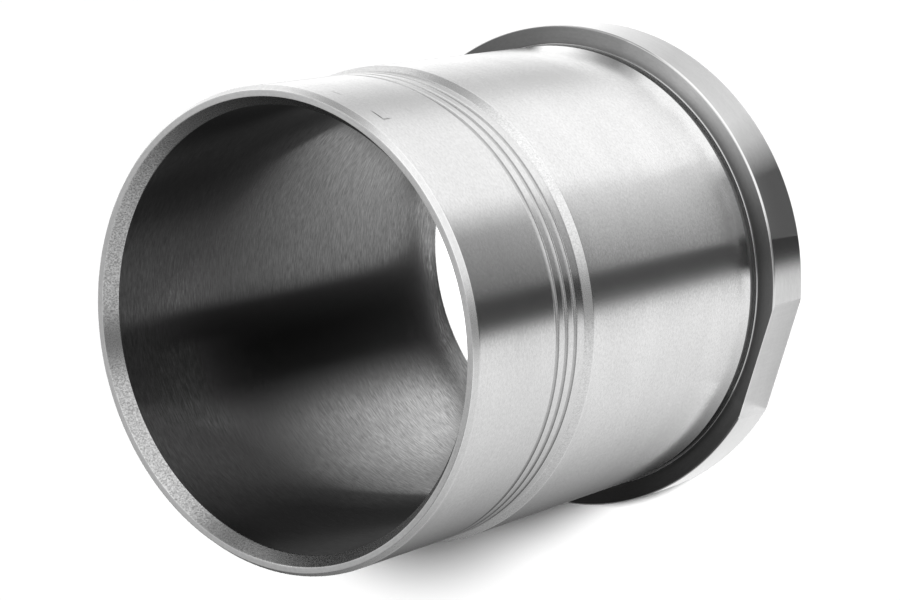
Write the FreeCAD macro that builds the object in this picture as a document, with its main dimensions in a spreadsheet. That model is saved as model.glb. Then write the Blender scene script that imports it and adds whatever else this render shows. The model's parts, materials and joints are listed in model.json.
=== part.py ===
import FreeCAD, Part
import Sketcher
import os

# A flanged cylinder liner, turned from one piece of iron, standing on its flange.
# Millimetres, +Z up. The origin is on the bore's axis, in the deck face of the flange.
# +X looks out through the flat that is milled on the flange's rim.

# Driving dimensions: alias, value, meaning
SIZES = [
    ("bore_diameter", 93.5, "bore, through from end to end"),
    ("skirt_wall", 4.1, "wall from the bore to the outside of the skirt"),
    ("shoulder_step", 1.1, "how far the barrel stands out from the skirt"),
    ("flange_ledge", 4.6, "how far the flange stands out from the barrel"),
    ("flange_thickness", 12.2, "flange, along the axis"),
    ("overall_length", 116.3, "deck face to skirt end"),
    ("skirt_length", 37.4, "skirt end to the foot of the shoulder"),
    ("shoulder_angle", 30.0, "slope of the shoulder to the axis, degrees"),
    ("lead_in_width", 1.95, "bore lead-in at the skirt end, across"),
    ("lead_in_length", 3.1, "bore lead-in at the skirt end, along the axis"),
    ("bevel_width", 0.85, "outer bevel at the skirt end, across"),
    ("bevel_length", 1.3, "outer bevel at the skirt end, along the axis"),
    ("groove_count", 3, "ring grooves in the skirt"),
    ("groove_width", 1.3, "ring groove, along the axis"),
    ("groove_depth", 0.65, "ring groove, into the wall"),
    ("groove_pitch", 3.2, "from one ring groove to the next"),
    ("groove_land", 3.25, "foot of the shoulder to the middle of the nearest groove"),
    ("relief_width", 2.3, "relief under the flange, along the axis"),
    ("relief_depth", 0.65, "relief under the flange, into the barrel"),
    ("collar_width", 0.3, "collar between relief and flange, along the axis"),
    ("collar_step", 0.3, "how far the collar stands out from the barrel"),
    ("collar_break", 0.15, "broken edge of the collar"),
    ("flange_edge_break", 0.3, "broken edges of the flange's rim"),
    ("bore_edge_break", 0.4, "broken edge of the bore in the deck face"),
    ("flat_depth", 1.8, "flat milled into the flange's rim"),
    ("cutter_overrun", 1.0, "how far a cutting profile runs clear of the metal"),
]

# Sizes that follow from the driving ones, as expressions
BORE_RADIUS = "(Sizes.bore_diameter / 2)"
SKIRT_RADIUS = "(%s + Sizes.skirt_wall)" % BORE_RADIUS
BARREL_RADIUS = "(%s + Sizes.shoulder_step)" % SKIRT_RADIUS
COLLAR_RADIUS = "(%s + Sizes.collar_step)" % BARREL_RADIUS
FLANGE_RADIUS = "(%s + Sizes.flange_ledge)" % BARREL_RADIUS
FLAT_DISTANCE = "(%s - Sizes.flat_depth)" % FLANGE_RADIUS
SKIRT_END = "Sizes.overall_length"
FLANGE_TOP = "Sizes.flange_thickness"
COLLAR_TOP = "(%s + Sizes.collar_width)" % FLANGE_TOP
SHOULDER_FOOT = "(%s - Sizes.skirt_length)" % SKIRT_END
SHOULDER_HEAD = "(%s - Sizes.shoulder_step / tan(Sizes.shoulder_angle * 1 deg))" % SHOULDER_FOOT
FIRST_GROOVE = "(%s + Sizes.groove_land)" % SHOULDER_FOOT

# The sketcher's own numbers for its axes, its origin and the points of an edge
ACROSS_AXIS = -1
UP_AXIS = -2
ORIGIN = (-1, 1)
START = 1
STOP = 2
CENTRE = 3

FULL_TURN = 360.0

# Two lengths closer than this are the same length, mm
SAME = 1e-4

doc = FreeCAD.newDocument("cylinder_liner")


def make_sheet():
    """Write the driving dimensions into a spreadsheet, one alias to a row."""
    sheet = doc.addObject("Spreadsheet::Sheet", "Sizes")
    for row, (alias, value, meaning) in enumerate(SIZES, start=1):
        sheet.set("A%d" % row, alias)
        sheet.set("B%d" % row, str(value))
        sheet.set("C%d" % row, meaning)
        sheet.setAlias("B%d" % row, alias)
    doc.recompute()


def origin_feature(body, role):
    """One of the body's own origin planes, found by its role."""
    for feature in body.Origin.OriginFeatures:
        if feature.Role == role:
            return feature
    raise RuntimeError("the body has no " + role)


def new_sketch(body, name, plane):
    """An empty sketch on one of the body's origin planes."""
    sketch = body.newObject("Sketcher::SketchObject", name)
    sketch.AttachmentSupport = [(origin_feature(body, plane), "")]
    sketch.MapMode = "FlatFace"
    return sketch


def evaluate(item, rule):
    """The number that an expression gives now."""
    value = item.evalExpression(rule)
    return float(getattr(value, "Value", value))


def place(sketch, across, up):
    """Where two expressions put a sketch point; None is a place on the axis."""
    x = 0.0 if across is None else evaluate(sketch, across)
    y = 0.0 if up is None else evaluate(sketch, up)
    return FreeCAD.Vector(x, y, 0)


def pin(sketch, edge, point, kind, rule):
    """Hold one coordinate of a sketch point by an expression; None holds it on the axis."""
    if rule is None:
        axis = UP_AXIS if kind == "DistanceX" else ACROSS_AXIS
        sketch.addConstraint(Sketcher.Constraint("PointOnObject", edge, point, axis))
        return
    distance = Sketcher.Constraint(kind, *ORIGIN, edge, point, evaluate(sketch, rule))
    number = sketch.addConstraint(distance)
    sketch.setExpression("Constraints[%d]" % number, rule)


def pin_point(sketch, edge, point, across, up):
    """Hold both coordinates of a sketch point."""
    pin(sketch, edge, point, "DistanceX", across)
    pin(sketch, edge, point, "DistanceY", up)


def join_ends(sketch, edges):
    """Join each edge's stop to the next one's start, and the last to the first."""
    for edge, following in zip(edges, edges[1:] + edges[:1]):
        sketch.addConstraint(Sketcher.Constraint("Coincident", edge, STOP, following, START))


def closed_outline(sketch, corners):
    """A closed outline of straight edges through corners (across, up), each held by expressions."""
    places = [place(sketch, across, up) for across, up in corners]
    edges = []
    for start, stop in zip(places, places[1:] + places[:1]):
        edges.append(sketch.addGeometry(Part.LineSegment(start, stop), False))
    join_ends(sketch, edges)
    for edge, (across, up) in zip(edges, corners):
        pin_point(sketch, edge, START, across, up)


def turn(body, kind, name, sketch):
    """Revolve a sketch once round the bore's axis: a Revolution adds metal, a Groove cuts it."""
    feature = body.newObject("PartDesign::" + kind, name)
    feature.Profile = sketch
    feature.ReferenceAxis = (sketch, ["V_Axis"])
    feature.Angle = FULL_TURN
    sketch.Visibility = False
    doc.recompute()
    return feature


def turned_blank(body):
    """The turned outline, from the deck face out round the flange, up the outside and down the bore."""
    sketch = new_sketch(body, "turned_outline", "XZ_Plane")
    closed_outline(sketch, [
        (BORE_RADIUS, None),
        (FLANGE_RADIUS, None),
        (FLANGE_RADIUS, FLANGE_TOP),
        (COLLAR_RADIUS, FLANGE_TOP),
        (COLLAR_RADIUS, COLLAR_TOP),
        (BARREL_RADIUS, COLLAR_TOP),
        (BARREL_RADIUS, SHOULDER_HEAD),
        (SKIRT_RADIUS, SHOULDER_FOOT),
        (SKIRT_RADIUS, "%s - Sizes.bevel_length" % SKIRT_END),
        ("%s - Sizes.bevel_width" % SKIRT_RADIUS, SKIRT_END),
        ("%s + Sizes.lead_in_width" % BORE_RADIUS, SKIRT_END),
        (BORE_RADIUS, "%s - Sizes.lead_in_length" % SKIRT_END),
    ])
    return turn(body, "Revolution", "turned_blank", sketch)


def relief(body):
    """The square relief cut into the barrel next to the collar."""
    sketch = new_sketch(body, "relief_section", "XZ_Plane")
    floor = "%s - Sizes.relief_depth" % BARREL_RADIUS
    clear = "%s + Sizes.cutter_overrun" % COLLAR_RADIUS
    relief_top = "%s + Sizes.relief_width" % COLLAR_TOP
    closed_outline(sketch, [
        (floor, COLLAR_TOP),
        (clear, COLLAR_TOP),
        (clear, relief_top),
        (floor, relief_top),
    ])
    return turn(body, "Groove", "relief", sketch)


def ring_groove(body):
    """The round-bottomed ring groove nearest the shoulder. Returns its sketch and its cut."""
    sketch = new_sketch(body, "ring_groove_section", "XZ_Plane")
    deepest = "%s - Sizes.groove_depth" % SKIRT_RADIUS
    centre = "%s + Sizes.groove_width / 2" % deepest
    clear = "%s + Sizes.cutter_overrun" % SKIRT_RADIUS
    lower = "%s - Sizes.groove_width / 2" % FIRST_GROOVE
    upper = "%s + Sizes.groove_width / 2" % FIRST_GROOVE
    inner_upper = place(sketch, centre, upper)
    inner_lower = place(sketch, centre, lower)
    outer_upper = place(sketch, clear, upper)
    outer_lower = place(sketch, clear, lower)
    middle = place(sketch, deepest, FIRST_GROOVE)
    bottom = sketch.addGeometry(Part.Arc(inner_upper, middle, inner_lower), False)
    lower_wall = sketch.addGeometry(Part.LineSegment(inner_lower, outer_lower), False)
    mouth = sketch.addGeometry(Part.LineSegment(outer_lower, outer_upper), False)
    upper_wall = sketch.addGeometry(Part.LineSegment(outer_upper, inner_upper), False)
    join_ends(sketch, [bottom, lower_wall, mouth, upper_wall])
    pin_point(sketch, bottom, CENTRE, centre, FIRST_GROOVE)
    pin_point(sketch, lower_wall, START, centre, lower)
    pin_point(sketch, mouth, START, clear, lower)
    pin_point(sketch, mouth, STOP, clear, upper)
    pin(sketch, upper_wall, STOP, "DistanceX", centre)
    return sketch, turn(body, "Groove", "ring_groove", sketch)


def ring_grooves(body):
    """The row of ring grooves up the skirt, stepped from the one nearest the shoulder."""
    sketch, one_groove = ring_groove(body)
    pattern = body.newObject("PartDesign::LinearPattern", "ring_grooves")
    pattern.Originals = [one_groove]
    pattern.Direction = (sketch, ["V_Axis"])
    pattern.setExpression("Length", "Sizes.groove_pitch * (Sizes.groove_count - 1)")
    pattern.setExpression("Occurrences", "Sizes.groove_count")
    body.Tip = pattern
    doc.recompute()
    return pattern


def circles_at(shape, radius, height):
    """Names of the circular edges of one radius that lie at one height."""
    names = []
    for number, edge in enumerate(shape.Edges, start=1):
        circle = edge.Curve
        if not isinstance(circle, Part.Circle):
            continue
        if abs(circle.Radius - radius) < SAME and abs(circle.Center.z - height) < SAME:
            names.append("Edge%d" % number)
    return names


def break_edges(body, base, name, circles, width):
    """Break circular edges evenly. Each circle is (radius, height), held by expressions."""
    names = []
    for radius, height in circles:
        spot = place(base, radius, height)
        names += circles_at(base.Shape, spot.x, spot.y)
    if len(names) < len(circles):
        raise RuntimeError(name + " misses an edge")
    chamfer = body.newObject("PartDesign::Chamfer", name)
    chamfer.Base = (base, names)
    chamfer.setExpression("Size", width)
    body.Tip = chamfer
    doc.recompute()
    return chamfer


def flange_flat(body):
    """The flat milled across the flange's rim, square to +X, through its whole thickness."""
    sketch = new_sketch(body, "flat_section", "XY_Plane")
    clear = "%s + Sizes.cutter_overrun" % FLANGE_RADIUS
    closed_outline(sketch, [
        (FLAT_DISTANCE, "-%s" % FLANGE_RADIUS),
        (clear, "-%s" % FLANGE_RADIUS),
        (clear, FLANGE_RADIUS),
        (FLAT_DISTANCE, FLANGE_RADIUS),
    ])
    pocket = body.newObject("PartDesign::Pocket", "flange_flat")
    pocket.Profile = sketch
    pocket.Type = "Length"
    pocket.setExpression("Length", "%s + Sizes.cutter_overrun" % FLANGE_TOP)
    pocket.Reversed = True
    sketch.Visibility = False
    doc.recompute()
    return pocket


def check_cuts(features):
    """Each feature after the first takes metal off; one that points away from it would not."""
    for before, after in zip(features, features[1:]):
        if after.Shape.Volume >= before.Shape.Volume:
            raise RuntimeError(after.Name + " cuts nothing")


def cylinder_liner():
    """The whole liner as one body."""
    body = doc.addObject("PartDesign::Body", "cylinder_liner")
    body.Label = "cylinder_liner"
    body.Placement = FreeCAD.Placement()
    blank = turned_blank(body)
    relieved = relief(body)
    grooved = ring_grooves(body)
    rim = break_edges(body, grooved, "flange_edge_breaks",
                      [(FLANGE_RADIUS, None), (FLANGE_RADIUS, FLANGE_TOP)],
                      "Sizes.flange_edge_break")
    bore = break_edges(body, rim, "bore_edge_break", [(BORE_RADIUS, None)],
                       "Sizes.bore_edge_break")
    collar = break_edges(body, bore, "collar_edge_break", [(COLLAR_RADIUS, COLLAR_TOP)],
                         "Sizes.collar_break")
    flat = flange_flat(body)
    check_cuts([blank, relieved, grooved, rim, bore, collar, flat])
    return body


make_sheet()
PARTS = [cylinder_liner()]
doc.recompute()

for item in doc.Objects:
    if "Invalid" in item.State or "Error" in item.State:
        raise RuntimeError(item.Name + " failed to build")

for part in PARTS:
    if part.Shape.isNull() or not part.Shape.isValid():
        raise RuntimeError(part.Label + " has no valid shape")

os.makedirs("parts", exist_ok=True)
for part in PARTS:
    part.Shape.exportStep("parts/%s.step" % part.Label)
    print(part.Label, "solids", len(part.Shape.Solids), "volume", round(part.Shape.Volume, 1))
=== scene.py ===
import json
import math

import bmesh
import bpy
from mathutils import Matrix, Vector


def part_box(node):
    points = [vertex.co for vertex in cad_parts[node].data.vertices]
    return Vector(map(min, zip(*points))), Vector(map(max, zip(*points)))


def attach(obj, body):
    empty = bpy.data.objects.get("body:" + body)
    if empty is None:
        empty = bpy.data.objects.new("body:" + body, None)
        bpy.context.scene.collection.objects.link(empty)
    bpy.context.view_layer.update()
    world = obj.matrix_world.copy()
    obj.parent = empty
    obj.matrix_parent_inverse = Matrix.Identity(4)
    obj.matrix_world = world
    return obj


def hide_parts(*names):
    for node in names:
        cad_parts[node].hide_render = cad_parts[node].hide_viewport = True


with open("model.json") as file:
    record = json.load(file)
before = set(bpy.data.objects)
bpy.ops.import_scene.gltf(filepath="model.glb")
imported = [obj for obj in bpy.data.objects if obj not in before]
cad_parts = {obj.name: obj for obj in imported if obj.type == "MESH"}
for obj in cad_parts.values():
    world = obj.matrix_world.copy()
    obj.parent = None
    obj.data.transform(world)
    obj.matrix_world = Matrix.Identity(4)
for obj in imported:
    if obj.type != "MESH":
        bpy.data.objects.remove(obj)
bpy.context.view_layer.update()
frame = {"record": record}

# A flanged cylinder liner of turned iron, standing on its flange, with the skirt end up.
# Metres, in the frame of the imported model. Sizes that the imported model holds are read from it.

MM = 0.001
NODE = "cylinder_liner"
MOUNTS = {mount["name"]: mount for mount in frame["record"]["mounts"]}
node_low, node_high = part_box(NODE)


def mount_radius(name):
    """The radius of a round mount."""
    return MOUNTS[name]["dims"]["r_mm"] * MM


def mount_height(name):
    """The height of a mount's stated point."""
    return MOUNTS[name]["pos_m"][2]


def half_length(name):
    """Half the length of a round mount's wall."""
    return MOUNTS[name]["dims"]["length_mm"] * MM / 2


# The turned form
LENGTH = node_high.z
FLANGE_RADIUS = -node_low.x
FLAT_DISTANCE = node_high.x
FLANGE_TOP = mount_height("flange_seat")
BARREL_RADIUS = mount_radius("barrel_seat")
BARREL_FOOT = mount_height("barrel_seat") - half_length("barrel_seat")
BARREL_HEAD = mount_height("barrel_seat") + half_length("barrel_seat")
SKIRT_RADIUS = mount_radius("skirt_seat")
SKIRT_LENGTH = 37.4 * MM
SKIRT_FOOT = LENGTH - SKIRT_LENGTH
SKIRT_HEAD = mount_height("skirt_seat") + half_length("skirt_seat")
BORE_RADIUS = mount_radius("bore")
BORE_FOOT = mount_height("bore")
BORE_HEAD = BORE_FOOT + 2 * half_length("bore")

# Its details
BEVEL_WIDTH = 0.85 * MM
LEAD_IN_WIDTH = 1.95 * MM
BORE_BREAK = 0.4 * MM
RIM_BREAK = 0.3 * MM
COLLAR_RADIUS = BARREL_RADIUS + 0.3 * MM
COLLAR_TOP = FLANGE_TOP + 0.3 * MM
COLLAR_BREAK = 0.15 * MM
RELIEF_RADIUS = BARREL_RADIUS - 0.65 * MM
GROOVE_COUNT = 3
GROOVE_WIDTH = 1.3 * MM
GROOVE_DEPTH = 0.65 * MM
GROOVE_PITCH = 3.2 * MM
GROOVE_LAND = 3.25 * MM

# How its corners are eased, and how far wear and the painted edge highlight and shade reach from them
OUTER_EASE = 0.07 * MM
INNER_EASE = 0.12 * MM
COLLAR_EASE = OUTER_EASE / 2
COLLAR_FOOT_EASE = INNER_EASE / 2
LEAD_IN_EASE = OUTER_EASE / 3
EASE_STEPS = 2
EDGE_BAND_WIDTH = 0.3 * MM
EDGE_BAND_ROOM = 3 * EDGE_BAND_WIDTH

# How finely it is meshed. A column nearer than this share of a step to an end of the flat is left out.
COLUMNS = 480
COLUMN_CLEARANCE = 0.25
LONGEST_STEP = 9 * MM
GROOVE_STEPS = 10
SHARP_ANGLE = math.radians(30)
FLAT_END_ANGLE = math.radians(5)
SAME = 1e-6


def mixed(first, second, share):
    """A number part of the way from one to another."""
    return first + (second - first) * share


def groove_corners(middle):
    """The corners of one round-bottomed groove, from its lower lip to its upper one."""
    half = GROOVE_WIDTH / 2
    corners = [(SKIRT_RADIUS, middle - half, "groove", OUTER_EASE)]
    for step in range(1, GROOVE_STEPS):
        angle = math.pi * step / GROOVE_STEPS
        across = SKIRT_RADIUS - GROOVE_DEPTH * math.sin(angle)
        corners.append((across, middle - half * math.cos(angle), "groove", 0.0))
    corners.append((SKIRT_RADIUS, middle + half, "skirt", OUTER_EASE))
    return corners


def outline_corners():
    """The turned outline's corners: radius, height, zone of the stretch after it, ease."""
    corners = [
        (BORE_RADIUS + BORE_BREAK, 0.0, "deck_face", OUTER_EASE),
        (FLANGE_RADIUS - RIM_BREAK, 0.0, "flange_rim", OUTER_EASE),
        (FLANGE_RADIUS, RIM_BREAK, "flange_rim", OUTER_EASE),
        (FLANGE_RADIUS, FLANGE_TOP - RIM_BREAK, "flange_rim", OUTER_EASE),
        (FLANGE_RADIUS - RIM_BREAK, FLANGE_TOP, "flange_face", OUTER_EASE),
        (COLLAR_RADIUS, FLANGE_TOP, "flange_face", COLLAR_FOOT_EASE),
        (COLLAR_RADIUS, COLLAR_TOP - COLLAR_BREAK, "flange_face", COLLAR_EASE),
        (COLLAR_RADIUS - COLLAR_BREAK, COLLAR_TOP, "relief", COLLAR_EASE),
        (RELIEF_RADIUS, COLLAR_TOP, "relief", INNER_EASE),
        (RELIEF_RADIUS, BARREL_FOOT, "relief", INNER_EASE),
        (BARREL_RADIUS, BARREL_FOOT, "barrel", OUTER_EASE),
        (BARREL_RADIUS, BARREL_HEAD, "shoulder", OUTER_EASE),
        (SKIRT_RADIUS, SKIRT_FOOT, "skirt", INNER_EASE),
    ]
    for number in range(GROOVE_COUNT):
        corners += groove_corners(SKIRT_FOOT + GROOVE_LAND + number * GROOVE_PITCH)
    corners += [
        (SKIRT_RADIUS, SKIRT_HEAD, "bevel", OUTER_EASE),
        (SKIRT_RADIUS - BEVEL_WIDTH, LENGTH, "end_face", OUTER_EASE),
        (BORE_RADIUS + LEAD_IN_WIDTH, LENGTH, "lead_in", LEAD_IN_EASE),
        (BORE_RADIUS, BORE_HEAD, "bore", OUTER_EASE),
        (BORE_RADIUS, BORE_FOOT, "bore", OUTER_EASE),
    ]
    return corners


def eased_corner(before, corner, after, zone_before, zone, ease):
    """Points round a corner: radius, height, zone after it, and 1 on an outer edge, -1 in an inner one."""
    if ease == 0.0:
        return [(corner.x, corner.y, zone, 0.0)]
    back = before - corner
    ahead = after - corner
    band_back = back.length > EDGE_BAND_ROOM
    band_ahead = ahead.length > EDGE_BAND_ROOM
    back.normalize()
    ahead.normalize()
    outer = back.x * ahead.y - back.y * ahead.x < 0
    mark = 1.0 if outer else -1.0
    points = []
    if band_back:
        place = corner + back * EDGE_BAND_WIDTH
        points.append((place.x, place.y, zone_before, 0.0))
    for step in range(EASE_STEPS + 1):
        share = step / EASE_STEPS
        place = corner + back * ease * (1 - share) ** 2 + ahead * ease * share ** 2
        points.append((place.x, place.y, zone if step == EASE_STEPS else zone_before, mark))
    if band_ahead:
        place = corner + ahead * EDGE_BAND_WIDTH
        points.append((place.x, place.y, zone, 0.0))
    return points


def outline_rings():
    """The outline with its corners eased: radius, height, zone after it, edge mark."""
    corners = outline_corners()
    rings = []
    for number, (radius, height, zone, ease) in enumerate(corners):
        before = corners[number - 1]
        after = corners[(number + 1) % len(corners)]
        rings += eased_corner(Vector(before[:2]), Vector((radius, height)), Vector(after[:2]),
                              before[2], zone, ease)
    return rings


def divided(rings):
    """The same rings, with more of them on the long stretches."""
    result = []
    for ring, following in zip(rings, rings[1:] + rings[:1]):
        result.append(ring)
        gap = math.hypot(following[0] - ring[0], following[1] - ring[1])
        parts = math.ceil(gap / LONGEST_STEP)
        for part in range(1, parts):
            share = part / parts
            radius = mixed(ring[0], following[0], share)
            height = mixed(ring[1], following[1], share)
            result.append((radius, height, ring[2], 0.0))
    return result


def column_angles():
    """The columns of the lathe mesh, with one on each end of the flat, at the rim and at its breaks."""
    step = 2 * math.pi / COLUMNS
    ends = []
    for radius in (FLANGE_RADIUS, FLANGE_RADIUS - RIM_BREAK):
        end = math.acos(FLAT_DISTANCE / radius)
        ends += [end, 2 * math.pi - end]
    evenly = [number * step for number in range(COLUMNS)]
    clear = [angle for angle in evenly if min(abs(angle - end) for end in ends) > step * COLUMN_CLEARANCE]
    return sorted(clear + ends)


def turned_rows(mesh, rings):
    """Each ring's points, turned round the axis, with the flat cut into the flange's rim."""
    along = mesh.verts.layers.float.new("along")
    edge_mark = mesh.verts.layers.float.new("edge_mark")
    angles = column_angles()
    rows = []
    travelled = 0.0
    last = rings[0]
    for ring in rings:
        radius, height, _, mark = ring
        travelled += math.hypot(radius - last[0], height - last[1])
        last = ring
        row = []
        for angle in angles:
            reach = radius
            if radius * math.cos(angle) > FLAT_DISTANCE:
                reach = FLAT_DISTANCE / math.cos(angle)
            vert = mesh.verts.new((reach * math.cos(angle), reach * math.sin(angle), height))
            vert[along] = travelled / MM
            vert[edge_mark] = mark
            row.append(vert)
        rows.append(row)
    return rows


def cover_rows(mesh, rows, rings):
    """Faces from each row to the next, with the finish of their zone."""
    for row, above, ring in zip(rows, rows[1:] + rows[:1], rings):
        for column in range(len(row)):
            beside = (column + 1) % len(row)
            face = mesh.faces.new((row[column], row[beside], above[beside], above[column]))
            face.smooth = True
            on_flat = all(abs(vert.co.x - FLAT_DISTANCE) < SAME for vert in face.verts)
            face.material_index = ZONES.index("flat" if on_flat else ring[2])


def mark_sharp_edges(mesh):
    """Sharp where the outline turns a corner, and along the two ends of the flat."""
    mesh.normal_update()
    for edge in mesh.edges:
        start, stop = edge.verts
        upright = abs(start.co.z - stop.co.z) > SAME
        limit = FLAT_END_ANGLE if upright else SHARP_ANGLE
        edge.smooth = edge.calc_face_angle(0.0) < limit


def liner_mesh():
    """The liner's mesh: the outline turned round the axis."""
    rings = divided(outline_rings())
    mesh = bmesh.new()
    cover_rows(mesh, turned_rows(mesh, rings), rings)
    mark_sharp_edges(mesh)
    data = bpy.data.meshes.new("liner")
    mesh.to_mesh(data)
    mesh.free()
    return data


def make_piece():
    """The dressed liner in place of the plain node."""
    piece = bpy.data.objects.new("liner", liner_mesh())
    bpy.context.scene.collection.objects.link(piece)
    for finish in FINISHES.values():
        piece.data.materials.append(finish())
    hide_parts(NODE)
    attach(piece, "root")


# Materials

class Nodes:
    """Short calls for building one node tree."""

    def __init__(self, tree):
        self.tree = tree
        tree.nodes.clear()

    def add(self, kind, **settings):
        """A new node with these settings."""
        node = self.tree.nodes.new(kind)
        for name, value in settings.items():
            setattr(node, name, value)
        return node

    def link(self, source, target):
        self.tree.links.new(source, target)

    def put(self, socket, value):
        """Feeds a socket from another one, or sets its number."""
        if isinstance(value, bpy.types.NodeSocket):
            self.link(value, socket)
        else:
            socket.default_value = value

    def math(self, operation, first, second=0.0):
        """The result of one sum."""
        node = self.add("ShaderNodeMath", operation=operation)
        self.put(node.inputs[0], first)
        self.put(node.inputs[1], second)
        return node.outputs[0]

    def fit(self, value, from_low, from_high, to_low, to_high, smooth=False):
        """Maps a range of a value onto another one."""
        node = self.add("ShaderNodeMapRange")
        if smooth:
            node.interpolation_type = "SMOOTHSTEP"
        self.put(node.inputs["Value"], value)
        for name, number in (("From Min", from_low), ("From Max", from_high),
                             ("To Min", to_low), ("To Max", to_high)):
            node.inputs[name].default_value = number
        return node.outputs["Result"]

    def noise(self, vector, detail, roughness):
        """Noise with cells of one unit of the vector."""
        node = self.add("ShaderNodeTexNoise")
        self.link(vector, node.inputs["Vector"])
        node.inputs["Scale"].default_value = 1.0
        node.inputs["Detail"].default_value = detail
        node.inputs["Roughness"].default_value = roughness
        return node.outputs["Fac"]

    def attribute(self, name):
        """A value that the mesh holds at its points."""
        return self.add("ShaderNodeAttribute", attribute_name=name).outputs["Fac"]

    def place(self):
        """The place on the object, as a vector."""
        return self.add("ShaderNodeTexCoord").outputs["Object"]

    def bearing_of(self, vector):
        """The direction of a vector round the axis in radians, and its height."""
        parts = self.add("ShaderNodeSeparateXYZ")
        self.link(vector, parts.inputs[0])
        return self.math("ARCTAN2", parts.outputs["Y"], parts.outputs["X"]), parts.outputs["Z"]


def new_material(name):
    """A material, the calls for its node tree, and the socket for its shader."""
    material = bpy.data.materials.new(name)
    material.use_nodes = True
    nodes = Nodes(material.node_tree)
    output = nodes.add("ShaderNodeOutputMaterial")
    return material, nodes, output.inputs["Surface"]


def grey(level):
    """A colour with no hue."""
    return (level, level, level, 1)


def mix_colour(nodes, share, first, second):
    """A colour part of the way from one to another."""
    node = nodes.add("ShaderNodeMix", data_type="RGBA")
    nodes.put(node.inputs["Factor"], share)
    nodes.put(node.inputs["A"], first)
    nodes.put(node.inputs["B"], second)
    return node.outputs["Result"]


def lay_vector(nodes, around, along):
    """Coordinates on the turned surface: cells for each millimetre round the axis and along the outline."""
    flat = nodes.add("ShaderNodeVectorMath", operation="MULTIPLY")
    nodes.link(nodes.place(), flat.inputs[0])
    flat.inputs[1].default_value = (1, 1, 0)
    unit = nodes.add("ShaderNodeVectorMath", operation="NORMALIZE")
    nodes.link(flat.outputs["Vector"], unit.inputs[0])
    wide = nodes.add("ShaderNodeVectorMath", operation="SCALE")
    nodes.link(unit.outputs["Vector"], wide.inputs[0])
    wide.inputs["Scale"].default_value = around * SKIRT_RADIUS / MM
    rise = nodes.add("ShaderNodeCombineXYZ")
    nodes.link(nodes.math("MULTIPLY", nodes.attribute("along"), along), rise.inputs["Z"])
    total = nodes.add("ShaderNodeVectorMath", operation="ADD")
    nodes.link(wide.outputs["Vector"], total.inputs[0])
    nodes.link(rise.outputs["Vector"], total.inputs[1])
    return total.outputs["Vector"]


# Faint marks scribed on the skirt: bearing in degrees, height in mm, length in mm round the axis,
# length in mm along it, and how much darker they are
SCRIBES = [(82.0, 110.2, 4.2, 0.6, 0.8), (80.2, 109.2, 0.6, 3.2, 0.55), (94.8, 109.9, 2.8, 0.6, 0.35)]
# Where a mark is at its darkest and where it has faded out, in shares of its length from its middle
SCRIBE_FADE = (0.15, 0.6)


def scribe_shade(nodes):
    """How much darker the scribed marks make a place on the skirt."""
    turn, height_here = nodes.bearing_of(nodes.place())
    around = nodes.math("MULTIPLY", turn, SKIRT_RADIUS / MM)
    along = nodes.math("DIVIDE", height_here, MM)
    total = 0.0
    for degrees, height, length_around, length_along, darker in SCRIBES:
        middle_around = math.radians(degrees) * SKIRT_RADIUS / MM
        mark = darker
        for place, middle, length in ((around, middle_around, length_around),
                                      (along, height, length_along)):
            off = nodes.math("ABSOLUTE", nodes.math("SUBTRACT", place, middle))
            near = nodes.fit(off, length * SCRIBE_FADE[0], length * SCRIBE_FADE[1], 1, 0, smooth=True)
            mark = nodes.math("MULTIPLY", near, mark)
        total = nodes.math("MAXIMUM", mark, total)
    return total


# The range that most of a noise lies in, and what all the finishes share
NOISE_RANGE = (0.3, 0.7)
LINE_DETAIL = 3.0
GRAIN_DETAIL = 2.0
FINE_ROUGHNESS = 0.6
PATCH_CELLS = (0.05, 0.12)
PATCH_DETAIL = 2.0
PATCH_ROUGHNESS = 0.5
PATCH_STRENGTH = 0.03
LINE_SHARE = 0.3
QUARTER_TURN = 0.25


def swing(nodes, noise, strength):
    """A noise turned into a change of shade, lighter or darker by up to the strength."""
    return nodes.fit(noise, *NOISE_RANGE, -strength, strength)


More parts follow.
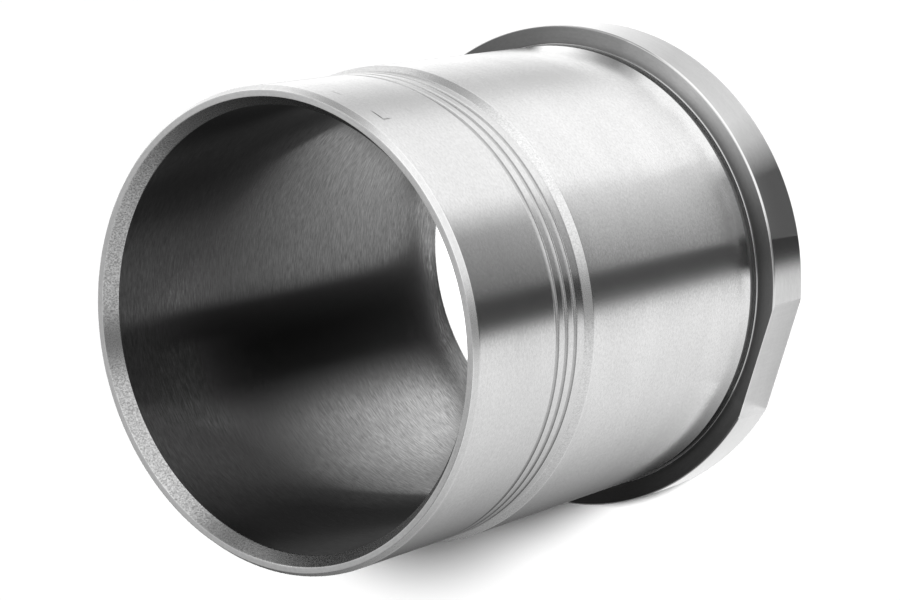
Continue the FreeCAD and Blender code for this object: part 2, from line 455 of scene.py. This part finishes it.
def turned_iron(name, shade, roughness, anisotropy, lines, grain, depth, edge_wear_and_shade=0.12, scribed=False):
    """Machined iron. lines and grain are cells a mm around, cells a mm along, strength; depth is in mm."""
    material, nodes, surface = new_material(name)
    shader = nodes.add("ShaderNodeBsdfPrincipled")
    nodes.link(shader.outputs["BSDF"], surface)
    shader.inputs["Metallic"].default_value = 1.0
    shader.inputs["Anisotropic"].default_value = anisotropy
    shader.inputs["Anisotropic Rotation"].default_value = QUARTER_TURN

    line_noise = nodes.noise(lay_vector(nodes, *lines[:2]), LINE_DETAIL, FINE_ROUGHNESS)
    grain_noise = nodes.noise(lay_vector(nodes, *grain[:2]), GRAIN_DETAIL, FINE_ROUGHNESS)
    patch_noise = nodes.noise(lay_vector(nodes, *PATCH_CELLS), PATCH_DETAIL, PATCH_ROUGHNESS)

    varied = nodes.math("ADD", swing(nodes, line_noise, lines[2]), swing(nodes, grain_noise, grain[2]))
    varied = nodes.math("ADD", varied, swing(nodes, patch_noise, PATCH_STRENGTH))
    # Edge mark: outer edges lighter, partly wear and partly painted highlight; inner corners darker,
    # painted shade
    varied = nodes.math("ADD", varied, nodes.math("MULTIPLY", nodes.attribute("edge_mark"), edge_wear_and_shade))
    if scribed:
        varied = nodes.math("SUBTRACT", varied, scribe_shade(nodes))
    level = nodes.math("MULTIPLY", nodes.math("ADD", varied, 1.0), shade)
    colour = nodes.add("ShaderNodeCombineColor")
    for channel in ("Red", "Green", "Blue"):
        nodes.link(level, colour.inputs[channel])
    nodes.link(colour.outputs["Color"], shader.inputs["Base Color"])

    rough = nodes.math("SUBTRACT", 1.0, varied)
    nodes.link(nodes.math("MULTIPLY", rough, roughness), shader.inputs["Roughness"])

    bump = nodes.add("ShaderNodeBump")
    bump.inputs["Strength"].default_value = 1.0
    bump.inputs["Distance"].default_value = depth * MM
    line_relief = nodes.math("MULTIPLY", line_noise, LINE_SHARE)
    nodes.link(nodes.math("ADD", line_relief, grain_noise), bump.inputs["Height"])
    nodes.link(bump.outputs["Normal"], shader.inputs["Normal"])

    tangent = nodes.add("ShaderNodeTangent", direction_type="RADIAL", axis="Z")
    nodes.link(tangent.outputs["Tangent"], shader.inputs["Tangent"])
    return material


def deck_iron():
    return turned_iron("faced_deck", shade=0.68, roughness=0.24, anisotropy=0.6,
                       lines=(0.03, 3.0, 0.04), grain=(0.8, 2.5, 0.04), depth=0.003)


def flange_rim_iron():
    return turned_iron("turned_rim", shade=0.63, roughness=0.18, anisotropy=0.5,
                       lines=(0.06, 2.5, 0.02), grain=(0.8, 1.7, 0.03), depth=0.001, edge_wear_and_shade=0.25)


# Darker in shade than the barrel: painted shade for the dark that the face mirrors
def flange_face_iron():
    return turned_iron("faced_flange", shade=0.42, roughness=0.32, anisotropy=0.2,
                       lines=(0.1, 2.0, 0.03), grain=(1.0, 2.0, 0.05), depth=0.003, edge_wear_and_shade=0.25)


# Much darker in shade than the barrel: painted shade in the relief under the collar
def relief_iron():
    return turned_iron("turned_relief", shade=0.32, roughness=0.3, anisotropy=0.4,
                       lines=(0.1, 3.0, 0.04), grain=(1.0, 2.0, 0.05), depth=0.002, edge_wear_and_shade=0.4)


def barrel_iron():
    return turned_iron("turned_barrel", shade=0.75, roughness=0.21, anisotropy=0.3,
                       lines=(0.15, 2.0, 0.02), grain=(1.6, 2.6, 0.09), depth=0.0015, edge_wear_and_shade=0.04)


def shoulder_iron():
    return turned_iron("grained_shoulder", shade=0.72, roughness=0.26, anisotropy=0.2,
                       lines=(0.2, 2.0, 0.03), grain=(2.6, 2.6, 0.14), depth=0.003, edge_wear_and_shade=0.04)


def skirt_iron():
    return turned_iron("turned_skirt", shade=0.7, roughness=0.2, anisotropy=0.5,
                       lines=(0.1, 2.5, 0.02), grain=(1.4, 2.6, 0.08), depth=0.001, edge_wear_and_shade=0.04,
                       scribed=True)


# Darker in shade than the skirt: painted shade in the grooves
def groove_iron():
    return turned_iron("turned_groove", shade=0.52, roughness=0.26, anisotropy=0.4,
                       lines=(0.1, 3.0, 0.04), grain=(1.0, 3.0, 0.06), depth=0.002, edge_wear_and_shade=0.04)


def bevel_iron():
    return turned_iron("turned_bevel", shade=0.72, roughness=0.28, anisotropy=0.4,
                       lines=(0.05, 3.0, 0.03), grain=(1.2, 2.0, 0.05), depth=0.003)


def end_iron():
    return turned_iron("faced_end", shade=0.76, roughness=0.3, anisotropy=0.5,
                       lines=(0.1, 3.0, 0.04), grain=(1.2, 2.0, 0.06), depth=0.003, edge_wear_and_shade=0.04)


def lead_in_iron():
    return turned_iron("grained_lead_in", shade=0.45, roughness=0.26, anisotropy=0.2,
                       lines=(0.2, 2.0, 0.03), grain=(2.4, 2.4, 0.35), depth=0.006, edge_wear_and_shade=0.2)


# Far darker in shade than the outside: painted shade inside the bore
def bore_iron():
    return turned_iron("bored_wall", shade=0.2, roughness=0.14, anisotropy=0.8,
                       lines=(0.1, 3.0, 0.1), grain=(0.45, 4.0, 0.3), depth=0.0002)


def flat_iron():
    return turned_iron("milled_flat", shade=0.68, roughness=0.3, anisotropy=0.4,
                       lines=(1.2, 0.06, 0.03), grain=(1.2, 1.2, 0.03), depth=0.002)


# The finish of each zone of the outline, and of the flat
# The relief, grooves, flange's face and bore are set darker in shade: painted shade
FINISHES = {
    "deck_face": deck_iron,
    "flange_rim": flange_rim_iron,
    "flange_face": flange_face_iron,
    "relief": relief_iron,
    "barrel": barrel_iron,
    "shoulder": shoulder_iron,
    "skirt": skirt_iron,
    "groove": groove_iron,
    "bevel": bevel_iron,
    "end_face": end_iron,
    "lead_in": lead_in_iron,
    "bore": bore_iron,
    "flat": flat_iron,
}
ZONES = list(FINISHES)

# The camera: where it stands in degrees round and above the liner, and how far it is rolled over
LENS = 111.909
SENSOR = 36.0
NEAREST = 0.01
VIEW_AZIMUTH = 124.152
VIEW_ELEVATION = 52.072
VIEW_ROLL = 103.163
VIEW_DISTANCE = 0.617934
VIEW_TARGET = Vector((0.001101, -0.00087, 0.057821))


def make_camera():
    """The camera, looking down on the skirt end and rolled over on its side."""
    azimuth, elevation = math.radians(VIEW_AZIMUTH), math.radians(VIEW_ELEVATION)
    roll = math.radians(VIEW_ROLL)
    back = Vector((math.sin(azimuth) * math.cos(elevation),
                   -math.cos(azimuth) * math.cos(elevation), math.sin(elevation)))
    level_right = Vector((0, 0, 1)).cross(back).normalized()
    level_up = back.cross(level_right)
    right = level_right * math.cos(roll) - level_up * math.sin(roll)
    up = level_up * math.cos(roll) + level_right * math.sin(roll)
    data = bpy.data.cameras.new("camera")
    data.lens = LENS
    data.sensor_width = SENSOR
    data.clip_start = NEAREST
    camera = bpy.data.objects.new("camera", data)
    turned = Matrix((right, up, back)).transposed().to_4x4()
    camera.matrix_world = Matrix.Translation(VIEW_TARGET + back * VIEW_DISTANCE) @ turned
    bpy.context.scene.collection.objects.link(camera)
    bpy.context.scene.camera = camera


# The studio: what the metal mirrors, by the direction it lies in.
# Each ring is (azimuth in degrees from +X towards +Y, light level), for one band of heights.
LOW_RING = [(0.0, 0.97), (6.0, 0.95), (13.0, 0.04), (26.0, 0.04), (31.0, 0.2), (50.0, 0.33),
            (59.0, 0.38), (75.0, 1.22), (118.0, 1.19), (129.0, 1.03), (138.0, 0.74), (148.0, 0.63),
            (158.0, 0.85), (170.0, 1.1), (180.0, 1.3), (194.0, 1.4), (202.0, 0.1), (236.0, 0.08),
            (256.0, 0.24), (277.0, 0.45), (297.0, 0.69), (318.0, 0.87), (350.0, 1.01)]
LEVEL_RING = [(0.0, 0.92), (8.0, 0.85), (14.0, 0.3), (24.0, 0.2), (30.0, 0.5), (40.0, 1.1), (60.0, 1.25),
              (90.0, 1.35), (104.0, 1.1), (112.0, 0.5), (125.0, 0.35), (133.0, 0.6), (142.0, 1.1),
              (153.0, 1.35), (165.0, 1.1), (180.0, 0.95), (195.0, 0.6), (240.0, 0.1), (258.0, 0.15),
              (283.0, 0.33), (300.0, 0.45), (320.0, 0.7), (345.0, 0.88)]
HIGH_RING = [(0.0, 0.75), (10.0, 0.5), (24.0, 0.5), (35.0, 1.2), (54.0, 1.3), (70.0, 0.9), (85.0, 0.7),
             (124.0, 1.1), (150.0, 1.3), (175.0, 0.8), (200.0, 0.57), (225.0, 0.57), (246.0, 0.1),
             (264.0, 0.12), (287.0, 0.25), (308.0, 0.5), (330.0, 0.75)]
# The heights of a direction between which one ring turns into the next
LOW_TO_LEVEL = (-0.5, -0.2)
LEVEL_TO_HIGH = (0.5, 0.8)
SOFT_LIGHT = 0.08
WHITE = 1.0


def light_ring(nodes, turn, ring):
    """The light level of a ring at a share of a full turn. The ring begins at azimuth 0."""
    stops = [(azimuth / 360, level) for azimuth, level in ring]
    stops.append((1.0, ring[0][1]))
    ramp = nodes.add("ShaderNodeValToRGB")
    elements = ramp.color_ramp.elements
    while len(elements) < len(stops):
        elements.new(0.5)
    for element, (position, level) in zip(elements, stops):
        element.position = position
        element.color = grey(level)
    nodes.link(turn, ramp.inputs["Fac"])
    return ramp.outputs["Color"]


def share_of_turn(nodes, angle):
    """An angle as a share of a full turn, from 0 to 1."""
    return nodes.math("FRACT", nodes.math("DIVIDE", angle, 2 * math.pi))


def make_world():
    """White behind everything, soft light on dull surfaces, and the rings for the metal to mirror."""
    world = bpy.data.worlds.new("studio")
    bpy.context.scene.world = world
    world.use_nodes = True
    nodes = Nodes(world.node_tree)
    output = nodes.add("ShaderNodeOutputWorld")
    background = nodes.add("ShaderNodeBackground")
    nodes.link(background.outputs["Background"], output.inputs["Surface"])
    direction = nodes.add("ShaderNodeTexCoord").outputs["Generated"]
    angle, height = nodes.bearing_of(direction)
    turn = share_of_turn(nodes, angle)
    low = light_ring(nodes, turn, LOW_RING)
    level = light_ring(nodes, turn, LEVEL_RING)
    high = light_ring(nodes, turn, HIGH_RING)
    above_low = nodes.fit(height, *LOW_TO_LEVEL, 0, 1, smooth=True)
    above_level = nodes.fit(height, *LEVEL_TO_HIGH, 0, 1, smooth=True)
    panels = mix_colour(nodes, above_low, low, level)
    panels = mix_colour(nodes, above_level, panels, high)
    path = nodes.add("ShaderNodeLightPath")
    mirrored = nodes.math("MAXIMUM", path.outputs["Is Glossy Ray"], path.outputs["Is Transmission Ray"])
    light = mix_colour(nodes, mirrored, grey(SOFT_LIGHT), panels)
    light = mix_colour(nodes, path.outputs["Is Camera Ray"], light, grey(WHITE))
    nodes.link(light, background.inputs["Color"])
    world.cycles.sampling_method = "NONE"


# The floor and the lamp
FLOOR_RADIUS = 3.0
FLOOR_DROP = 0.02 * MM
FLOOR_SHADE = 0.8
FLOOR_WHITE = 0.04
BORE_FLOOR_RISE = 0.01 * MM
BORE_FLOOR_RADIUS = BORE_RADIUS - 0.1 * MM
DISC_SIDES = 128
LAMP_AZIMUTH = 48.0
LAMP_ELEVATION = 59.0
LAMP_STRENGTH = 4.2
LAMP_SPREAD = 8.0


def floor_material(name, white_share):
    """A pale floor: part plain white to the camera, part lit, so that it keeps the shadow."""
    material, nodes, surface = new_material(name)
    lit = nodes.add("ShaderNodeBsdfDiffuse")
    lit.inputs["Color"].default_value = grey(FLOOR_SHADE)
    white = nodes.add("ShaderNodeEmission")
    path = nodes.add("ShaderNodeLightPath")
    nodes.link(nodes.math("MULTIPLY", path.outputs["Is Camera Ray"], white_share), white.inputs["Strength"])
    both = nodes.add("ShaderNodeAddShader")
    nodes.link(lit.outputs["BSDF"], both.inputs[0])
    nodes.link(white.outputs["Emission"], both.inputs[1])
    nodes.link(both.outputs["Shader"], surface)
    return material


def disc(name, radius, height, material):
    """A flat round patch of floor, which the metal doesn't mirror."""
    mesh = bmesh.new()
    bmesh.ops.create_circle(mesh, cap_ends=True, segments=DISC_SIDES, radius=radius)
    data = bpy.data.meshes.new(name)
    mesh.to_mesh(data)
    mesh.free()
    data.materials.append(material)
    piece = bpy.data.objects.new(name, data)
    piece.location.z = height
    piece.visible_glossy = False
    bpy.context.scene.collection.objects.link(piece)


def make_floor():
    """The floor round the liner, and the patch of it that shows through the bore."""
    disc("floor", FLOOR_RADIUS, -FLOOR_DROP, floor_material("pale_floor", FLOOR_WHITE))
    disc("floor_in_bore", BORE_FLOOR_RADIUS, BORE_FLOOR_RISE, floor_material("white_floor", WHITE))


def make_lamp():
    """One broad soft lamp."""
    light = bpy.data.lights.new("soft_lamp", "SUN")
    light.energy = LAMP_STRENGTH
    light.angle = math.radians(LAMP_SPREAD)
    lamp = bpy.data.objects.new("soft_lamp", light)
    azimuth, elevation = math.radians(LAMP_AZIMUTH), math.radians(LAMP_ELEVATION)
    towards = Vector((math.cos(elevation) * math.cos(azimuth),
                      math.cos(elevation) * math.sin(azimuth), math.sin(elevation)))
    lamp.rotation_mode = "QUATERNION"
    lamp.rotation_quaternion = towards.to_track_quat("Z", "Y")
    lamp.visible_glossy = False
    bpy.context.scene.collection.objects.link(lamp)


# Cards that only the metal mirrors. Their bearings and headings are degrees from +X towards +Y.
CARD_STEPS = 16
CARD_GAP = 0.03 * MM

# The direction that the camera looks in, and how far a ray that an upright wall mirrors for it
# goes sideways for each unit that it falls
VIEW_HEADING = round(VIEW_AZIMUTH + 90, 2)
MIRROR_REACH = 0.78

# What the bore mirrors below it: heading, light level at the mouth, light level deep down, and the
# depth in mm at which the one begins to turn into the other
BORE_LIGHTS = [(-85, 0.0, 2.1, 36), (-58, 0.0, 1.4, 27), (-42, 0.05, 1.2, 19), (-26, 0.17, 1.05, 18),
               (0, 0.24, 0.85, 15), (9, 0.23, 0.66, 15), (15, 0.03, 0.06, 20), (35, 0.0, 0.02, 20),
               (56, 0.0, 0.03, 20), (64, 0.06, 0.3, 30), (72, 0.13, 0.8, 28), (86, 0.18, 2.2, 24),
               (115, 0.17, 2.6, 25), (134, 0.12, 1.8, 28), (155, 0.07, 1.5, 36)]
BORE_CARD_STEP = 5
BORE_CARD_ROWS = 12
BORE_CARD_DROP = 25 * MM
BORE_DEEP = 90 * MM
# How much lower the card lies for each degree of heading, which keeps its overlapping parts apart
BORE_CARD_LAYER = 0.004 * MM

# What the bore mirrors on its own wall: bearing, and the light level at the foot, in the middle and
# at the top. The heights in mm are those of the card's rows and of the two changes of level.
BORE_SLEEVE_LIGHTS = [(-105, 0.09, 0.05, 0.1), (-81, 0.09, 0.08, 0.08), (-57, 0.19, 0.19, 0.04),
                      (-33, 0.27, 0.27, 0.04), (-4, 0.29, 0.29, 0.04), (8, 0.1, 0.1, 0.04),
                      (42, 0.09, 0.1, 0.02), (60, 0.11, 0.14, 0.02), (72, 0.18, 0.27, 0.02),
                      (90, 0.18, 0.28, 0.02), (111, 0.2, 0.25, 0.02), (135, 0.2, 0.18, 0.02),
                      (159, 0.16, 0.11, 0.02), (183, 0.15, 0.06, 0.02), (207, 0.19, 0.06, 0.04),
                      (231, 0.13, 0.06, 0.09), (255, 0.09, 0.05, 0.1)]
BORE_SLEEVE_STEP = 3
BORE_SLEEVE_RISES = (0, 10, 20, 40, 60, 112)
BORE_SLEEVE_FOOT = (0, 20)
BORE_SLEEVE_TOP = (40, 60)

# What the flange's face mirrors on the barrel: bearing, light level; and the share of it at heights
# in mm above the collar
SLEEVE_LIGHTS = [(-56, 0.0), (-36, 0.0), (-26, 0.03), (-11, 0.09), (4, 0.15), (19, 0.14), (26, 0.08),
                 (32, 0.1), (39, 0.17), (46, 0.31), (54, 0.48), (64, 0.66), (74, 0.78), (90, 0.5),
                 (110, 0.4), (124, 0.3)]
SLEEVE_SHARES = [(0, 0.2), (6, 1.6), (20, 1.6), (50, 1.6)]
SLEEVE_STEP = 2

# What the flange's face mirrors past the two sides of the barrel: bearing, light level
# The near lid is mostly dark: painted shade on the flange's face beside the barrel's foot
LID_LIGHTS = {"near_lid": [(-125, 0.5), (-95, 0.12), (-72, 0.03), (-55, 0.03), (-38, 0.06), (-24, 0.09),
                           (-12, 0.14)],
              "far_lid": [(92, 0.62), (108, 0.46), (118, 0.34), (130, 0.28), (150, 0.2), (175, 0.45)]}
LID_RISE = 3 * MM
LID_WIDTH = 22 * MM

# What the foot of the barrel mirrors on the flange's face: the ends of the card, and the stretches of
# bearing over which its share of light changes
LEDGE_BEARINGS = (-60, 134)
LEDGE_DIMS = [((-44, 14), (0.1, 1.0)), ((82, 92), (1.0, 0.42)), ((96, 106), (1.0, 2.3))]

# What the barrel's middle band mirrors on the floor
BARREL_CARD_BEARINGS = (30, 57)
BARREL_CARD_RADII = (66 * MM, 110 * MM)
BARREL_CARD_LEVELS = (0.3, 0.85)
BARREL_CARD_DROP = 0.1 * MM

# What the flange's rim mirrors close beside its foot: bearing, light level; and the width of each
# card at its first and last bearing
RIM_LIGHTS = {"flat_card": [(-54, 1.1), (-14, 1.1)],
              "rim_card": [(29, 0.14), (45, 0.14), (54, 0.8), (61, 1.05), (76, 0.93), (84, 0.86),
                           (98, 1.08), (112, 1.4), (124, 1.4), (140, 0.8)]}
RIM_CARD_WIDTHS = {"flat_card": (4 * MM, 8 * MM), "rim_card": (9 * MM, 9 * MM)}


def bearing(degrees, length):
    """A level arrow, by its direction from +X towards +Y."""
    angle = math.radians(degrees)
    return Vector((math.cos(angle), math.sin(angle), 0)) * length


def on_wall(degrees, radius, rise):
    """A place on an upright round wall. Its height is in mm."""
    return bearing(degrees, radius) + Vector((0, 0, rise * MM))


def between(rows, place, column):
    """A column's value at a place along the first column."""
    for row, following in zip(rows, rows[1:]):
        if place <= following[0]:
            share = (place - row[0]) / (following[0] - row[0])
            return mixed(row[column], following[column], share)
    return rows[-1][column]


def part_way(place, stretch):
    """How far along a stretch a place is, from 0 to 1."""
    return min(max((place - stretch[0]) / (stretch[1] - stretch[0]), 0.0), 1.0)


def turns(lights, step=1):
    """Every bearing or heading from the first row to the last."""
    return range(lights[0][0], lights[-1][0] + 1, step)


def one_sided(nodes, shader):
    """The shader on a face's front, and nothing at all from behind."""
    mix = nodes.add("ShaderNodeMixShader")
    nodes.link(nodes.add("ShaderNodeNewGeometry").outputs["Backfacing"], mix.inputs["Fac"])
    nodes.link(shader, mix.inputs[1])
    nodes.link(nodes.add("ShaderNodeBsdfTransparent").outputs["BSDF"], mix.inputs[2])
    return mix.outputs["Shader"]


def card_light(nodes, level):
    """A plain shine of this level."""
    shine = nodes.add("ShaderNodeEmission")
    nodes.put(shine.inputs["Strength"], level)
    return shine.outputs["Emission"]


def card(name, corners, height, faces=None, levels=None):
    """A card that only mirrored rays meet, with its node tree and the socket for its shader."""
    material, nodes, surface = new_material(name)
    data = bpy.data.meshes.new(name)
    data.from_pydata(corners, [], faces or [range(len(corners))])
    if levels:
        data.attributes.new("level", "FLOAT", "POINT").data.foreach_set("value", levels)
    data.materials.append(material)
    piece = bpy.data.objects.new(name, data)
    piece.location.z = height
    piece.visible_camera = False
    piece.visible_diffuse = False
    piece.visible_shadow = False
    bpy.context.scene.collection.objects.link(piece)
    return nodes, surface


def graded_card(name, columns, height, shown="both"):
    """A card of columns of (place, light level), shown from both sides, from outside or from inside."""
    corners = [place for column in columns for place, _ in column]
    levels = [level for column in columns for _, level in column]
    rows = len(columns[0])
    faces = []
    for column in range(len(columns) - 1):
        for row in range(rows - 1):
            start = column * rows + row
            beside = start + rows
            if shown == "inside":
                faces.append((start, start + 1, beside + 1, beside))
            else:
                faces.append((start, beside, beside + 1, start + 1))
    nodes, surface = card(name, corners, height, faces, levels)
    shine = card_light(nodes, nodes.attribute("level"))
    nodes.link(shine if shown == "both" else one_sided(nodes, shine), surface)


def ring_card(name, lights, inner, widths, height, shown="both"):
    """A level strip round the axis, graded by bearing. One shown from outside shows from below."""
    columns = []
    for turn in turns(lights):
        level = between(lights, turn, 1)
        width = mixed(*widths, part_way(turn, (lights[0][0], lights[-1][0])))
        columns.append([(bearing(turn, inner), level), (bearing(turn, inner + width), level)])
    graded_card(name, columns, height, shown)


def sector(bearings, inner, outer):
    """Corners of part of a ring on the floor."""
    along = [mixed(*bearings, step / CARD_STEPS) for step in range(CARD_STEPS + 1)]
    within = [bearing(turn, inner) for turn in along]
    beyond = [bearing(turn, outer) for turn in along]
    return within + beyond[::-1]


def light_by_bearing(nodes, bearings, levels):
    """A light level that runs between two values from one bearing to another."""
    first, last = (math.radians(turn) for turn in bearings)
    angle, _ = nodes.bearing_of(nodes.place())
    return nodes.fit(angle, first, last, *levels)


def bore_card_column(heading):
    """Where the rays land that the bore's far wall sends on this heading, and the light they meet."""
    wall = (heading + VIEW_HEADING + 180) / 2
    span = 2 * BORE_RADIUS * math.cos(math.radians(wall - 180 - heading))
    seen_depth = span / MIRROR_REACH
    longest = span + BORE_CARD_DROP
    mouth = between(BORE_LIGHTS, heading, 1)
    deep = between(BORE_LIGHTS, heading, 2)
    begins = between(BORE_LIGHTS, heading, 3) * MM
    layer = Vector((0, 0, abs(heading) * BORE_CARD_LAYER))
    column = []
    for number in range(BORE_CARD_ROWS + 1):
        depth = seen_depth * number / BORE_CARD_ROWS
        reach = min((LENGTH - depth + BORE_CARD_DROP) * MIRROR_REACH, longest)
        level = mixed(mouth, deep, part_way(depth, (begins, BORE_DEEP)))
        column.append((bearing(wall, BORE_RADIUS) + bearing(heading, reach) - layer, level))
    return column


def bore_card():
    """A card under the bore: bright for the deep wall, dark for the mouth, with a dark band."""
    columns = [bore_card_column(heading) for heading in turns(BORE_LIGHTS, BORE_CARD_STEP)]
    graded_card("bore_card", columns, -BORE_CARD_DROP)


def bore_sleeve():
    """A card round the bore's wall, seen only from inside: what the bore mirrors on itself."""
    # Painted reflection and shade: a glowing sheet just inside the wall, mirrored in place of the wall
    # itself
    columns = []
    for turn in turns(BORE_SLEEVE_LIGHTS, BORE_SLEEVE_STEP):
        foot, middle, top = (between(BORE_SLEEVE_LIGHTS, turn, column) for column in (1, 2, 3))
        column = []
        for rise in BORE_SLEEVE_RISES:
            level = mixed(foot, middle, part_way(rise, BORE_SLEEVE_FOOT))
            level = mixed(level, top, part_way(rise, BORE_SLEEVE_TOP))
            column.append((on_wall(turn, BORE_RADIUS - CARD_GAP, rise), level))
        columns.append(column)
    graded_card("bore_sleeve", columns, BORE_FOOT, shown="inside")


def ledge_card():
    """A card on the flange's face, seen only from above: the low ring's light for the barrel's foot."""
    corners = sector(LEDGE_BEARINGS, COLLAR_RADIUS, FLANGE_RADIUS - RIM_BREAK)
    nodes, surface = card("ledge_card", corners[::-1], FLANGE_TOP + CARD_GAP)
    angle, _ = nodes.bearing_of(nodes.place())
    # Painted reflection for the barrel's foot, worked out from the camera's heading, on a sheet just over
    # the face
    mirrored = nodes.math("SUBTRACT", nodes.math("MULTIPLY", angle, 2.0), math.radians(VIEW_HEADING - 180))
    level = light_ring(nodes, share_of_turn(nodes, mirrored), LOW_RING)
    for bearings, shares in LEDGE_DIMS:
        level = nodes.math("MULTIPLY", level, light_by_bearing(nodes, bearings, shares))
    nodes.link(one_sided(nodes, card_light(nodes, level)), surface)


def sleeve_card():
    """A card round the barrel, seen only from outside: what the flange's face mirrors."""
    # Painted reflection: a glowing sheet just off the barrel, which the face mirrors in its place; its dark
    # near side is painted shade
    columns = []
    for turn in turns(SLEEVE_LIGHTS, SLEEVE_STEP):
        level = between(SLEEVE_LIGHTS, turn, 1)
        columns.append([(on_wall(turn, BARREL_RADIUS + CARD_GAP, rise), level * share)
                        for rise, share in SLEEVE_SHARES])
    graded_card("sleeve_card", columns, COLLAR_TOP, shown="outside")


def barrel_card():
    """A grey card on the floor, graded round the liner, which lights the barrel's middle band."""
    corners = sector(BARREL_CARD_BEARINGS, *BARREL_CARD_RADII)
    nodes, surface = card("barrel_card", corners, -BARREL_CARD_DROP)
    level = light_by_bearing(nodes, BARREL_CARD_BEARINGS, BARREL_CARD_LEVELS)
    nodes.link(card_light(nodes, level), surface)


def rim_card(name):
    """A card on the floor, close beside the foot of the flange, which only the flange's rim mirrors."""
    ring_card(name, RIM_LIGHTS[name], FLANGE_RADIUS, RIM_CARD_WIDTHS[name], 0.0)


def lid_card(name):
    """A card just over the flange's face, beside the barrel, seen only from below."""
    ring_card(name, LID_LIGHTS[name], COLLAR_RADIUS, (LID_WIDTH, LID_WIDTH), FLANGE_TOP + LID_RISE,
              shown="outside")


make_camera()
make_world()
make_lamp()
make_floor()
bore_card()
bore_sleeve()
ledge_card()
sleeve_card()
barrel_card()
for name in RIM_LIGHTS:
    rim_card(name)
for name in LID_LIGHTS:
    lid_card(name)
make_piece()
bpy.context.scene.view_settings.view_transform = "Standard"
